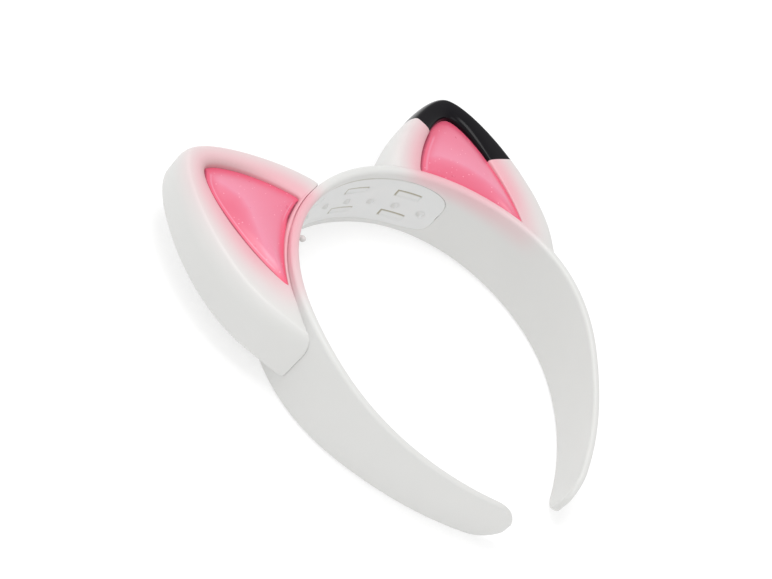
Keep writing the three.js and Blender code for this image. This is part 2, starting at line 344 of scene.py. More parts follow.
def dress(piece: bpy.types.Object, node: str, finish: Material) -> None:
    """Gives a piece its finish and its place in the frame.

    Args:
        piece: the finished object.
        node: the solid that it stands for.
        finish: the material.
    """
    piece.data.materials.append(finish)
    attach(piece, "root")
    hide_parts(node)
    LOG.info("%s: %d faces", piece.name, len(piece.data.polygons))


@dataclass
class Paint:
    """One material, with short ways to add the nodes that the finishes share."""

    name: str  # the material's name

    def __post_init__(self) -> None:
        """Makes the material, and the place on the piece that its textures read."""
        self.made = bpy.data.materials.new(self.name)
        self.made.use_nodes = True
        self.tree = self.made.node_tree
        self.place = add_node(self.tree, "ShaderNodeTexCoord").outputs["Object"]

    def attribute(self, name: str) -> Socket:
        """Reads one of the piece's attributes."""
        return add_node(self.tree, "ShaderNodeAttribute", attribute_name=name).outputs["Fac"]

    def texture(self, kind: str, size: float, **inputs: float) -> bpy.types.Node:
        """Adds a texture whose features have a size in millimetres."""
        every = {"Vector": self.place, "Scale": 1 / (size * MM), **inputs}
        return add_node(self.tree, f"ShaderNodeTex{kind}", every)

    def clouds(self, size: float, detail: float = 2.0) -> Socket:
        """Gives the strength of soft clouds of a size in millimetres."""
        return self.texture("Noise", size, Detail=detail).outputs["Fac"]

    def ranged(self, value: Socket, target: Range = (0.0, 1.0), source: Range = (0.0, 1.0)) -> Socket:
        """Brings a value from one range to another, clipped at the ends."""
        limits = dict(zip(("From Min", "From Max", "To Min", "To Max"), source + target))
        return add_node(self.tree, "ShaderNodeMapRange", {"Value": value, **limits}).outputs["Result"]

    def mix(self, share: Socket, low: Socket | str, high: str) -> Socket:
        """Goes a share of the way from one colour to another."""
        inputs = {0: share, 6: linear(low) if isinstance(low, str) else low, 7: linear(high)}
        return add_node(self.tree, "ShaderNodeMix", inputs, data_type="RGBA").outputs[2]

    def bump(self, height: Socket, strength: float, depth: float) -> Socket:
        """Gives the normals of a relief with a depth in millimetres."""
        inputs = {"Height": height, "Strength": strength, "Distance": depth * MM}
        return add_node(self.tree, "ShaderNodeBump", inputs).outputs["Normal"]


@dataclass(frozen=True)
class Finish:
    """A moulded plastic in two close tones, with a fine grain in its gloss."""

    name: str  # the material's name
    body: str  # main tone
    drift: str  # tone that it drifts to, in clouds
    drift_mm: float = 6.0  # size of the clouds
    drift_detail: float = 2.0  # how fine their edges are
    grain_mm: float = 6.0  # size of the grain
    relief: Range = (0.0, 0.0)  # strength of the grain's relief and its depth in millimetres
    rough: Range = (0.4, 0.5)  # least and most roughness
    index: float = 1.54  # refractive index
    mirror: float = 0.5  # strength of the mirrored light, half for a plain plastic
    glow: float = 0.0  # strength of the light that it gives off
    sunk: float = 0.0  # share of the light that sinks in
    sunk_tint: Triple = (1.0, 1.0, 1.0)  # how far red, green and blue go in, as shares of the reach
    sunk_mm: float = 0.0  # that reach

    def colour(self, paint: Paint) -> Socket:
        """Gives the two tones in clouds."""
        return paint.mix(paint.clouds(self.drift_mm, self.drift_detail), self.body, self.drift)

    def light(self, paint: Paint, colour: Socket) -> Socket:
        """Gives the colour of the light that it gives off, which is its own."""
        return colour

    def material(self) -> Material:
        """Builds the material.

        Returns:
            The finish's colour and light, with the grain in its roughness and its relief.
        """
        paint = Paint(self.name)
        colour, grain = self.colour(paint), paint.clouds(self.grain_mm)
        inputs = {
            "Base Color": colour,
            "Roughness": paint.ranged(grain, self.rough),
            "IOR": self.index,
            "Specular IOR Level": self.mirror,
            "Emission Strength": self.glow,
            "Subsurface Weight": self.sunk,
            "Subsurface Radius": self.sunk_tint,
            "Subsurface Scale": self.sunk_mm * MM,
        }
        if any(self.relief):
            inputs["Normal"] = paint.bump(grain, *self.relief)
        if self.glow:
            inputs["Emission Color"] = self.light(paint, colour)
        fill(paint.tree, paint.tree.nodes["Principled BSDF"], inputs)
        return paint.made


@dataclass(frozen=True)
class SatinAbs(Finish):
    """White ABS, moulded in a lightly etched tool.

    The etching gives the eye a soft, wide highlight with no mirror image. The panels' pink light is
    painted as a glow on the walls beside them, in colour and as light given off, and shade is painted
    as a warm grey in the deep end of their recess. Two point attributes carry these.
    """

    name: str = "satin_white_abs"
    body: str = "#D3D3D1"
    drift: str = "#CFCFCD"
    drift_mm: float = 22.0
    drift_detail: float = 3.0
    grain_mm: float = 0.7  # etching is nearer 0.1 mm, and is drawn coarser so that it shows
    relief: Range = (0.25, 0.02)
    rough: Range = (0.36, 0.5)
    # strength of the painted glow that the white plastic gives off beside the panels
    glow: float = 0.12
    sunk: float = 0.12
    sunk_tint: Triple = (1.0, 0.9, 0.85)
    sunk_mm: float = 1.2
    recess: str = "#A08F8B"  # painted shade in the deep end of the recess
    painted_glow: str = "#D0959F"  # full painted glow of the panels' pink light
    lit: str = "#FF8098"  # light given off where the painted glow is full, though the white plastic is no lamp
    unlit: str = "#000000"  # and where there is none

    def colour(self, paint: Paint) -> Socket:
        """Gives the two whites, with the painted glow and painted shade of the attributes."""
        with_painted_glow = paint.mix(paint.attribute("painted_glow"), super().colour(paint), self.painted_glow)
        return paint.mix(paint.attribute("recess"), with_painted_glow, self.recess)

    def light(self, paint: Paint, colour: Socket) -> Socket:
        """Gives the panels' pink light as painted glow given off by the white plastic."""
        return paint.mix(paint.attribute("painted_glow"), self.unlit, self.lit)


@dataclass(frozen=True)
class MilkySilicone(Finish):
    """Translucent white silicone, moulded.

    Light sinks into it, so its edges and pips look soft and a little blue beside the white band. A
    tan shade is painted under the upper lips of its slots and of its pocket, and on the left flanks of
    its pips, by a point attribute.
    """

    name: str = "milky_silicone"
    body: str = "#DADAD9"
    drift: str = "#D5D6D6"
    drift_mm: float = 9.0
    drift_detail: float = 3.0
    grain_mm: float = 0.8  # finer on the real pad, and drawn coarser so that it shows
    relief: Range = (0.2, 0.02)
    rough: Range = (0.28, 0.4)
    index: float = 1.43
    sunk: float = 0.2
    sunk_tint: Triple = (0.8, 0.95, 1.0)
    sunk_mm: float = 0.5
    shade: str = "#A09A88"  # full painted shade under a lip

    def colour(self, paint: Paint) -> Socket:
        """Gives the two milky tones, with the painted shade of the attribute."""
        return paint.mix(paint.attribute("shade"), super().colour(paint), self.shade)


@dataclass(frozen=True)
class PinkAcrylic(Finish):
    """Pink translucent acrylic, moulded, with a faint light behind it.

    Colour is painted deepest along the edge, where the eye looks through the plate's side, and drifts
    to its palest in a painted highlight beside the fold, where the surface catches the light, and along
    the open seam. Where the seam is open, painted shade shows the edge as a fine dark line. Fine flakes
    in the plate sparkle: the cores of some cells of a cell pattern.
    """

    name: str = "pink_acrylic"
    body: str = "#CC5D76"
    # here the palest pink: the painted highlight beside the fold and along the open seam
    drift: str = "#D07F95"
    grain_mm: float = 5.0
    rough: Range = (0.24, 0.36)
    index: float = 1.49
    glow: float = 0.2
    sunk: float = 0.25
    sunk_tint: Triple = (1.0, 0.5, 0.55)
    sunk_mm: float = 1.5
    deep: str = "#D65671"  # painted deeper pink along the edge
    painted_seam_shade: str = "#93304A"  # painted shade in the open seam
    flake: str = "#E6A9B8"
    flake_mm: float = 1.6  # spacing of the flakes, a few times the real one so that they show
    flake_core: Range = (0.2, 0.08)  # share of a cell where its flake begins, and where it is full
    flake_chosen: Range = (0.6, 0.7)  # value of a cell at which it holds a flake, and a full one
    flake_share: Range = (0.0, 0.6)  # least and most of the flakes' colour

    def colour(self, paint: Paint) -> Socket:
        """Mixes in the painted highlight, the painted deeper edge and the painted seam shade by their
        attributes, and flecks them.

        Args:
            paint: the material so far.

        Returns:
            The colour.
        """
        # painted highlight beside the fold and along the open seam, painted deeper edge, painted seam
        # shade
        colour = paint.mix(paint.attribute("fold"), self.body, self.drift)
        colour = paint.mix(paint.attribute("edge"), colour, self.deep)
        colour = paint.mix(paint.attribute("painted_seam_shade"), colour, self.painted_seam_shade)
        cells = paint.texture("Voronoi", self.flake_mm).outputs
        core = paint.ranged(cells["Distance"], source=self.flake_core)
        chosen = paint.ranged(cells["Color"], self.flake_share, self.flake_chosen)
        fleck = add_node(paint.tree, "ShaderNodeMath", {0: core, 1: chosen}, operation="MULTIPLY")
        return paint.mix(fleck.outputs["Value"], colour, self.flake)


@dataclass(frozen=True)
class GlossBlackAbs(Finish):
    """Black ABS from a polished tool.

    It mirrors the soft boxes in clear bright patches, with a faint ripple from the moulding.
    """

    name: str = "gloss_black_abs"
    body: str = "#0B0A0D"
    drift: str = "#110F14"
    drift_mm: float = 6.0
    grain_mm: float = 6.0
    relief: Range = (0.2, 0.1)
    rough: Range = (0.14, 0.24)
    mirror: float = 0.12


@dataclass(frozen=True)
class OpalAcrylic(Finish):
    """Opal acrylic sheet of a light table.

    Light comes up through it evenly, so the eye sees plain white with only faint shadows.
    """

    name: str = "opal_acrylic"
    body: str = "#BCBCBC"
    drift: str = "#BABABA"
    drift_mm: float = 3.0
    drift_detail: float = 4.0
    rough: Range = (0.9, 0.9)
    index: float = 1.49
    mirror: float = 0.1
    glow: float = 1.05


@dataclass(frozen=True)
class BandCurve:
    """Centre line of the band and its sections, by distance along an arm from the crown."""

    # radius and length of the tangent arcs from the crown to the tip
    arcs: tuple[Range, ...] = ((58.2, 50.0), (66.2, 75.0), (108.0, 63.5))
    # distance along, front edge, back edge and wall thickness
    rows: tuple[tuple[float, float, float, float], ...] = (
        (0.0, 12.6, -21.5, 3.8),
        (12.0, 12.6, -21.2, 3.8),
        (28.0, 12.9, -20.0, 3.7),
        (48.0, 14.4, -18.6, 3.5),
        (95.0, 19.3, -14.9, 3.0),
        (142.0, 15.5, -10.2, 2.6),
        (188.5, 12.2, -7.3, 2.4),
    )
    tip_round: float = 11.0  # length of the rounded end of an arm

    def length(self) -> float:
        """Gives the length of one arm."""
        return sum(length for _, length in self.arcs)

    def column(self, which: Column, along: Array) -> Array:
        """Smooth curve through one column of the table, level at the crown.

        Between two rows it is the cubic that takes their values and, at each, the slope between the
        rows on either side.

        Args:
            which: the column.
            along: distances from the crown, of either sign.

        Returns:
            The column's value at each distance.
        """
        table = np.array(self.rows)
        knots, values = table[:, 0], table[:, which.value]
        ahead = np.append(np.arange(1, len(knots)), len(knots) - 1)
        behind = np.append(0, np.arange(len(knots) - 1))
        slopes = (values[ahead] - values[behind]) / (knots[ahead] - knots[behind])
        slopes[0] = 0.0
        distance = np.minimum(np.abs(along), knots[-1])
        low = np.clip(np.searchsorted(knots, distance, side="right") - 1, 0, len(knots) - 2)
        span = knots[low + 1] - knots[low]
        t = (distance - knots[low]) / span
        swing = t * t * (3.0 - 2.0 * t)
        bend = span * t * (1.0 - t) * ((1.0 - t) * slopes[low] - t * slopes[low + 1])
        return mixed(values[low], values[low + 1], swing) + bend

    def point(self, along: Array, offset: Array | float) -> Array:
        """Point on the centre line, set off outwards.

        Each arc adds its radius times the change of the sine and the cosine of the turn so far.

        Args:
            along: distances from the crown, negative on the left.
            offset: distance outwards from the middle of the wall.

        Returns:
            Array with X and Y on its last axis.
        """
        distance = np.abs(along)
        x, y, turn = (np.zeros_like(distance) for _ in range(3))
        start = 0.0
        for radius, length in self.arcs:
            end = turn + np.clip(distance - start, 0.0, length) / radius
            x = x + radius * (np.sin(end) - np.sin(turn))
            y = y + radius * (np.cos(end) - np.cos(turn))
            turn = end
            start += length
        side = np.where(along < 0.0, -1.0, 1.0)
        return np.stack([side * (x + offset * np.sin(turn)), y + offset * np.cos(turn)], axis=-1)

    def place(self, along: Array, offset: Array | float, level: Array) -> Array:
        """Gives X, Y and Z of points by distance along, distance outwards and height."""
        along, offset, level = np.broadcast_arrays(along, offset, level)
        return np.concatenate([self.point(along, offset), level[..., None]], axis=-1)

    def half_wall(self, along: Array) -> Array:
        """Gives half the wall's thickness."""
        return self.column(Column.WALL, along) / 2.0

    def edges(self, along: Array) -> tuple[Array, Array]:
        """Front and back edge, drawn together as a half ellipse over the rounded end of each arm.

        Args:
            along: distances from the crown.

        Returns:
            Heights of the front and of the back edge.
        """
        front, back = self.column(Column.FRONT, along), self.column(Column.BACK, along)
        into = np.clip((np.abs(along) - self.length() + self.tip_round) / self.tip_round, 0.0, 1.0)
        middle, half = (front + back) / 2.0, (front - back) / 2.0 * np.sqrt(1.0 - into**2)
        return middle + half, middle - half


@dataclass(frozen=True)
class PadPlan:
    """Plan of the grip pad and of the pocket that holds it."""

    centre: float = 5.2  # distance along the band
    half_length: float = 39.6  # half its length
    middle: float = -4.1  # height of its centre
    half_width: float = 12.9  # half its width
    power: float = 4.5  # power of its super-ellipse
    floor: float = 0.5  # offset of the pocket's floor from the middle of the wall
    recess: float = 0.3  # depth of the pad's face below the band's inner face

    def outline(self, angle: Array, grow: float) -> tuple[Array, Array]:
        """Points of the super-ellipse along rays from its centre.

        The powers of the two coordinates, each over its half size, add up to 1.

        Args:
            angle: angle of each ray after both half sizes are made equal.
            grow: growth of both half sizes.

        Returns:
            Distances along the band and heights.
        """
        sides = np.abs(np.cos(angle)) ** self.power + np.abs(np.sin(angle)) ** self.power
        reach = sides ** (-1.0 / self.power)
        along = self.centre + reach * np.cos(angle) * (self.half_length + grow)
        level = self.middle + reach * np.sin(angle) * (self.half_width + grow)
        return along, level


@dataclass
class Band:
    """One-piece moulded band with a pocket for the grip pad inside its crown."""

    curve: BandCurve  # centre line and sections
    plan: PadPlan  # plan of the pocket
    edge_share: float = 0.42  # edge radius as a share of the wall
    corner_steps: int = 6  # facets in one rounded edge
    inner_steps: int = 26  # facets across the inner face
    outer_steps: int = 12  # facets across the outer face
    arm_steps: int = 150  # sections on the straight part of an arm
    tip_steps: int = 22  # sections on the rounded end of an arm
    tip_sweep: float = 88.0  # how far the sections go round that end, in degrees
    tip_thin: float = 1.1  # length over which the wall rounds off at the very end
    tip_blunt: float = 0.96  # most of that length that is rounded
    pocket_reach: float = 53.0  # distance along, either side of the crown, of the face round the pocket
    pocket_steps: int = 7  # rings of that face
    pocket_edge: float = 0.7  # growth of the pocket's plan where its edge begins
    # growth of the plan and drop below the face, down over the edge
    pocket_lip: tuple[Range, ...] = ((0.4, 0.02), (0.16, 0.09), (0.03, 0.2), (0.0, 0.38))
    # rings of the pocket's floor, as shares of the way in to its centre
    floor_shares: Range = (0.3, 0.7)
    stud: Range = (-41.0, 6.0)  # distance along and height of the small stud inside the left arm
    # radius of its ball, and height of the ball's centre above the inner face
    stud_ball: Range = (1.25, 3.4)
    # where the ball's rings begin and end, in degrees from its middle, and their number
    stud_sweep: tuple[float, float, int] = (-50.0, 84.0, 12)
    stud_sunk: float = 0.5  # how far its foot is sunk into the band

    def stations(self) -> Array:
        """Distances along the band from the left tip to the right one.

        Returns:
            Even steps, then steps along a sine round each end.
        """
        straight = self.curve.length() - self.curve.tip_round
        even = np.linspace(0.0, straight, self.arm_steps, endpoint=False)
        turn = np.linspace(0.0, math.radians(self.tip_sweep), self.tip_steps)
        arm = np.concatenate([even, straight + self.curve.tip_round * np.sin(turn)])
        return np.concatenate([-arm[:0:-1], arm])

    def sections(self, along: Array) -> tuple[Array, Array]:
        """Rounded rectangles round the wall.

        Each goes round its four corner arcs from the outer front edge over the inner face to the back,
        with the two flat faces between the arcs.

        Args:
            along: distances along the band.

        Returns:
            Offsets from the middle of the wall and heights, one section in each row.
        """
        quarter = np.linspace(0.0, 90.0, self.corner_steps + 1)
        inner = np.linspace(1.0, 0.0, self.inner_steps + 1)[1:-1]
        outer = np.linspace(0.0, 1.0, self.outer_steps + 1)[1:-1]
        corners = [quarter + start for start in (0.0, 90.0, 180.0, 270.0)]
        flats = [np.full(len(inner), 180.0), np.full(len(outer), 360.0)]
        angle = np.radians(np.concatenate([*corners[:2], flats[0], *corners[2:], flats[1]]))
        arc, ones = len(quarter), np.ones
        side = np.concatenate([ones(arc), -ones(2 * arc + len(inner)), ones(arc + len(outer))])
        share = np.concatenate([ones(2 * arc), inner, 0.0 * ones(2 * arc), outer])
        front, back = self.curve.edges(along)
        into = (np.abs(along) - self.curve.length() + self.tip_thin) / self.tip_thin
        thin = np.sqrt(1.0 - np.clip(into, 0.0, self.tip_blunt) ** 2)
        half = self.curve.half_wall(along) * thin
        radius = np.minimum(2.0 * self.edge_share * half, self.edge_share * (front - back))[:, None]
        offset = side * (half[:, None] - radius) + radius * np.cos(angle)
        level = mixed(back[:, None] + radius, front[:, None] - radius, share) + radius * np.sin(angle)
        return offset, level

    def shape(self) -> Shape:
        """Works out the band.

        Sections are carried along the centre line. Round the pocket, the inner face is a patch that
        goes from a rectangle of the face to the pad's outline, over a small edge and down the wall
        to the floor.

        Returns:
            The closed shape.
        """
        along = self.stations()
        offset, level = self.sections(along)
        first = 2 * self.corner_steps + 1
        last = first + self.inner_steps
        start, end = np.searchsorted(along, [-self.pocket_reach, self.pocket_reach]).tolist()
        dropped = np.zeros((len(along) - 1, level.shape[1]), bool)
        dropped[start:end, first:last] = True
        front, back = self.curve.edges(along[[0, -1]])
        poles = self.curve.place(along[[0, -1]], 0.0, (front + back) / 2.0)
        shape = Shape()
        grid, _ = shape.tube(self.curve.place(along[:, None], offset, level), poles, dropped)
        across, up = np.arange(start, end), np.arange(first, last)
        rows = np.concatenate([across, 0 * up + end, across[::-1] + 1, 0 * up + start])
        columns = np.concatenate([0 * across + first, up, 0 * across + last, up[::-1] + 1])
        self.pocket(shape, grid[rows, columns], along[rows], level[rows, columns])
        self.add_stud(shape)
        return shape

    def add_stud(self, shape: Shape) -> None:
        """Adds the stud, a ball on a stem whose foot is sunk into the band.

        Args:
            shape: the band so far.
        """
        (along, level), (radius, rise) = self.stud, self.stud_ball
        lift = np.radians(np.linspace(*self.stud_sweep))
        out = radius * np.cos(np.append(lift[:1], lift))
        up = np.append(-self.stud_sunk, rise + radius * np.sin(lift))
        face = -float(self.curve.half_wall(np.array([along]))[0])
        shape.turned(self.curve, (along, face, level), out, up)

    def pocket(self, shape: Shape, ring: Numbers, along: Array, level: Array) -> None:
        """Adds the patch with the pocket.

        Args:
            shape: the band so far.
            ring: numbers of the points round the patch.
            along: their distances along the band.
            level: their heights.
        """
        plan, wall, rows = self.plan, self.curve.half_wall, [ring]

        def unit(values: Array) -> Array:
            """Brings values to the range from -1 to 1."""
            return (2.0 * values - values.max() - values.min()) / np.ptp(values)

        def add(there: Array, offset: Array | float, height: Array) -> None:
            """Adds one ring of points."""
            rows.append(shape.add(self.curve.place(there, offset, height)))

        angle = np.arctan2(unit(level), unit(along))
        outer = plan.outline(angle, self.pocket_edge)
        for share in np.linspace(0.0, 1.0, self.pocket_steps + 1)[1:]:
            there = mixed(along, outer[0], share)
            add(there, -wall(there), mixed(level, outer[1], share))
        to_floor = float(wall(np.zeros(1))[0]) + plan.floor
        for grow, drop in (*self.pocket_lip, (0.0, to_floor)):
            there, height = plan.outline(angle, grow)
            add(there, np.minimum(drop - wall(there), plan.floor), height)
        there, height = plan.outline(angle, 0.0)
        for share in self.floor_shares:
            add(mixed(there, plan.centre, share), plan.floor, mixed(height, plan.middle, share))
        shape.span(np.stack(rows))
        pole = self.curve.place(np.array([plan.centre]), plan.floor, np.array([plan.middle]))[0]
        shape.fan(rows[-1], shape.add(pole))

    def build(self, shape: Shape, pose: Pose, ears: list["Ear"], white: Material) -> None:
        """Builds the band with the painted glow of the ears' panels, and dresses it.

        Args:
            shape: the band's shape.
            pose: how the band's plane lies.
            ears: the two ears.
            white: finish of the band.
        """
        piece = shape.piece("band_shell", pose)
        note(piece, "painted_glow", np.maximum(*(ear.painted_glow(shape.points()) for ear in ears)))
        dress(piece, "band", white)


@dataclass
class GripPad:
    """Pad in the crown's pocket, with a row of pips between two rows of shallow slots."""

    curve: BandCurve  # centre line of the band
    plan: PadPlan  # plan of the pocket
    round: float = 0.25  # radius of the pad's edge
    round_steps: int = 4  # facets of that edge
    joint: float = 0.1  # gap round the pad
    sag: float = 0.12  # how far the pad sits below the pocket's middle, which closes the gap there
    slide: float = 0.11  # how far it sits to the right of that middle, which closes the gap at that end
    rise: float = 0.27  # how far its lower edge stands out, which brings it level with the band there
    # radius, rise, height on the pad, spacing and number of the pips
    pip: tuple[float, float, float, float, int] = (2.0, 1.2, -6.2, 11.1, 7)
    # where a pip's rings end, as a share of its radius, and their number
    pip_rings: tuple[float, int] = (0.95, 14)
    pip_sunk: float = 0.06  # how far a pip's foot is sunk into the pad
    pip_shade: float = 0.18  # most of the painted shade on a pip's left flank
    # length, height, depth, spacing and number of the slots in a row
    slot: tuple[float, float, float, float, int] = (10.6, 3.6, 0.35, 23.4, 3)
    slot_levels: Range = (1.2, -11.5)  # heights of the two rows of slots
    steep: float = 0.06  # half the width of a slot's upper and left sides
    gentle: float = 0.3  # half the width of its lower and right sides
    shade: Range = (0.8, 1.4)  # how far full painted shade reaches under a lip, and where it ends
    brow: Range = (0.2, 0.6)  # the same for the painted shade under the pocket's upper lip
    # distances from the pad's centre over which that shade fades, and the share lost
    brow_fade: Triple = (-30.0, 30.0, 0.95)
    # where the sections along the pad end, in degrees, and their number
    sweep: tuple[float, int] = (89.6, 91)
    flat_steps: int = 24  # even lines across the face
    # power of the height that keeps the lines straight, and where that eases off
    square: Triple = (8.0, 0.76, 0.92)
    sharp: float = 30.0  # edges that bend more than this many degrees stay sharp

    def row(self, spacing: float, count: int) -> Array:
        """Gives evenly spaced distances along the band, centred on the pad."""
        return self.plan.centre + self.slide + (np.arange(count) - (count - 1) / 2.0) * spacing

    def face(self, level: Array | float) -> Array | float:
        """Gives the offset of the pad's face from the middle of the band's wall, at some heights."""
        lower = 0.5 - (level - self.plan.middle) / (2.0 * self.plan.half_width)
        return self.plan.recess - self.rise * lower - float(self.curve.half_wall(np.zeros(1))[0])

    def slots(self, along: Array, level: Array) -> tuple[Array, Array]:
        """Depth of the slots and the painted shade in them.

        The depth is the full one times a ramp at each side, all clipped between 0 and 1. The painted
        shade is full under the upper and left sides and falls to nothing over a short way.

        Args:
            along: distances along the band.
            level: heights.

        Returns:
            Depth and share of shade at each point.
        """
        length, height, depth, spacing, count = self.slot

        def nearest(gaps: Array) -> Array:
            """Picks the smallest of the last axis's distances, with its sign."""
            return np.take_along_axis(gaps, np.abs(gaps).argmin(axis=-1)[..., None], axis=-1)[..., 0]

        right = nearest(along[..., None] - self.row(spacing, count))
        above = nearest(level[..., None] - np.array(self.slot_levels))
        inside = np.ones_like(along)
        for room, slope in (
            (length / 2.0 + right, self.steep),
            (length / 2.0 - right, self.gentle),
            (height / 2.0 - above, self.steep),
            (height / 2.0 + above, self.gentle),
        ):
            inside = inside * np.clip((room + slope) / (2.0 * slope), 0.0, 1.0)
        lip = np.minimum(length / 2.0 + right, height / 2.0 - above)
        full, none = self.shade
        return depth * inside, np.clip((none - lip) / (none - full), 0.0, 1.0) * inside

    def marks(self, half: float, lip: int) -> Array:
        """Gives the lines of the grid across a slot: its sloping sides, and the painted shade beside its
        lip.

        Args:
            half: half the slot's size.
            lip: which side the shaded lip is on, -1 or 1.

        Returns:
            Places measured from the slot's middle.
        """
        full, none = self.shade
        sides = [half - self.steep, half + self.steep, half - full, half - none]
        return lip * np.array(sides + [-half - self.gentle, self.gentle - half])

    def lines(self) -> tuple[Array, Array]:
        """Lines of the grid along the pad and across it, as shares of its half sizes.

        The lines along come from a sine's sweep to the power that evens out the super-ellipse's
        ends. The sides of the slots and the brow are added to the even ones.

        Returns:
            Shares from the left end to the right one, and from the top of the face to its bottom.
        """
        plan, grow = self.plan, -self.joint - self.round
        length, height, _, spacing, count = self.slot
        reach, number = self.sweep
        turn = np.radians(np.linspace(-reach, reach, number))
        swept = np.sign(turn) * np.abs(np.sin(turn)) ** (2.0 / plan.power)
        centre = plan.centre + self.slide
        ends = (self.row(spacing, count)[:, None] + self.marks(length / 2.0, -1)).ravel() - centre
        sides = (np.array(self.slot_levels)[:, None] + self.marks(height / 2.0, 1)).ravel()
        levels = (sides - plan.middle + self.sag) / (plan.half_width + grow)
        flat = np.linspace(-1.0, 1.0, self.flat_steps + 1)[:-1]
        across = np.sort(np.concatenate([swept, ends / (plan.half_length + grow)]))
        return across, np.sort(np.concatenate([flat, self.brow_lines(), levels]))[::-1]

    def brow_lines(self) -> Array:
        """Gives the top of the face, and where the painted shade under the brow begins to fade and ends.
        """
        return 1.0 - np.array([0.0, *self.brow]) / self.plan.half_width

    def shape(self) -> tuple[Shape, Array]:
        """Works out the pad.

        Closed sections are carried along the band. Each is scaled by the super-ellipse's width, times
        a high power of the height in the middle of the pad, so that the grid's lines lie along the
        sides of the slots.

        Returns:
            The closed shape, with the pips sunk into it, and the painted shade at each of its points.
        """
        plan, centre = self.plan, self.plan.centre + self.slide
        across, upward = self.lines()
        width = (1.0 - np.abs(across) ** plan.power) ** (1.0 / plan.power)
        bend = np.radians(np.linspace(0.0, 90.0, self.round_steps + 1))
        edge_in = -self.joint - self.round * (1.0 - np.sin(bend))
        edge_down = self.round * (1.0 - np.cos(bend))
        bottom = plan.floor - FIT_GAP - self.face(plan.middle + plan.half_width)
        on_top = np.full(len(upward), -self.joint - self.round)
        rows_in = np.concatenate([on_top, edge_in[1:], [-self.joint] * 2, edge_in[:0:-1]])
        rows_down = np.concatenate([0.0 * upward, edge_down[1:], [bottom] * 2, edge_down[:0:-1]])
        rows_up = np.concatenate([upward, -np.ones(len(bend)), np.ones(len(bend))])
        along = centre + across[:, None] * (plan.half_length + rows_in)
        most, begin, end = self.square
        power = most * (1.0 - eased(begin, end, np.abs(across)))[:, None]
        scaled = rows_up * (1.0 + np.abs(rows_up) ** power * (width[:, None] - 1.0))
        level = plan.middle - self.sag + scaled * (plan.half_width + rows_in)
        on_face = np.arange(len(rows_up)) < len(upward)
        depth, shade = self.slots(along, level)
        offset = self.face(level) + rows_down + np.where(on_face, depth, 0.0)
        begin, end, lost = self.brow_fade
        _, full, none = self.brow_lines()
        fading = 1.0 - lost * eased(begin, end, along - centre)
        under_brow = fading * np.clip((rows_up - none) / (full - none), 0.0, 1.0)
        deep = self.face(plan.middle) + bottom / 2.0
        poles = self.curve.place(along[[0, -1]].mean(axis=1), deep, np.array(plan.middle))
        shape = Shape()
        grid, _ = shape.tube(self.curve.place(along, offset, level), poles)
        pips, flanks = self.pips(shape)
        shades = np.zeros(len(shape.points()))
        shades[grid] = np.maximum(np.where(on_face, shade, 0.0), under_brow)
        shades[pips] = flanks
        return shape, shades

    def pips(self, shape: Shape) -> tuple[Numbers, Array]:
        """Adds the pips: soft bumps with an S-shaped side, their feet sunk into the pad.

        Args:
            shape: the pad so far.

        Returns:
            Numbers of the pips' points, and the faint painted shade on their left flanks.
        """
        radius, rise, level, spacing, count = self.pip
        share = np.linspace(0.0, *self.pip_rings)
        out, up = radius * (1.0 - share), rise * eased(0.0, 1.0, share) - self.pip_sunk
        turn = np.linspace(0.0, 2.0 * math.pi, ROUND_STEPS, endpoint=False)
        flank = self.pip_shade * np.sin(math.pi * share)[:, None] * np.clip(-np.cos(turn), 0.0, 1.0)
        rows = [
            shape.turned(self.curve, (along, self.face(level), level), out, up)
            for along in self.row(spacing, count).tolist()
        ]
        return np.stack(rows), flank

    def build(self, pose: Pose, milky: Material) -> None:
        """Builds the pad with the painted shade in its slots, under its pocket's lip and on its pips,
        and dresses it.

        Args:
            pose: how the band's plane lies.
            milky: finish of the pad.
        """
        shape, shades = self.shape()
        piece = shape.piece("grip_pad", pose, self.sharp)
        note(piece, "shade", shades)
        dress(piece, "inner_pad", milky)


